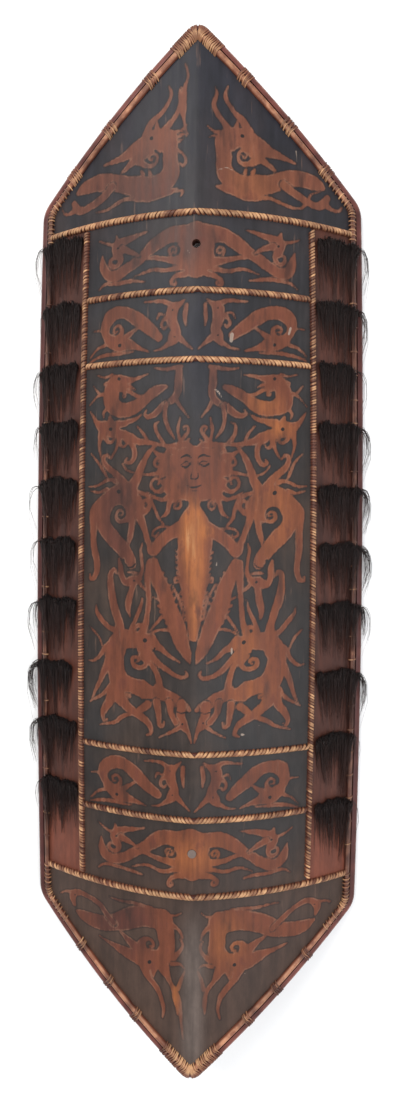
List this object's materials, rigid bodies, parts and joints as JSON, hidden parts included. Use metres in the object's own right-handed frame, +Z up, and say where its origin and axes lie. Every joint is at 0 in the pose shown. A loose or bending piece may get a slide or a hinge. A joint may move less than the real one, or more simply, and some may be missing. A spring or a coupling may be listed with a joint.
{
  "type": "kliau shield",
  "caption": "Long pointed wooden war shield with a ridged face, carved grip, rattan rim and lacing, and rows of hair tufts down both sides.",
  "frame": {"origin": "on the floor under the middle of the shield, which lies on its hollow back", "axes": "+Z up through the face, +Y towards the upper point, +X towards the right side as seen from the face"},
  "size_m": [0.423, 1.25, 0.0981],
  "materials": {
    "painted_wood": "satin",
    "plug": "matte",
    "rim_cane": "satin",
    "rattan": "satin",
    "hair": "satin"
  },
  "bodies": {
    "root": {"board": "painted_wood", "hole_plug": "plug", "rim_cane_outer_right": "rim_cane", "rim_cane_outer_left": "rim_cane", "rim_cane_inner_right": "rattan", "rim_cane_inner_left": "rattan", "lacing_row_1": "rattan", "lacing_row_2": "rattan", "lacing_row_3": "rattan", "lacing_row_4": "rattan", "lacing_row_5": "rattan", "lacing_row_6": "rattan", "lacing_side_right": "rattan", "lacing_side_left": "rattan", "hair_tuft_right_01": "hair", "hair_tuft_right_02": "hair", "hair_tuft_right_03": "hair", "hair_tuft_right_04": "hair", "hair_tuft_right_05": "hair", "hair_tuft_right_06": "hair", "hair_tuft_right_07": "hair", "hair_tuft_right_08": "hair", "hair_tuft_right_09": "hair", "hair_tuft_right_10": "hair", "hair_tuft_left_01": "hair", "hair_tuft_left_02": "hair", "hair_tuft_left_03": "hair", "hair_tuft_left_04": "hair", "hair_tuft_left_05": "hair", "hair_tuft_left_06": "hair", "hair_tuft_left_07": "hair", "hair_tuft_left_08": "hair", "hair_tuft_left_09": "hair", "hair_tuft_left_10": "hair"}
  },
  "joints": []
}
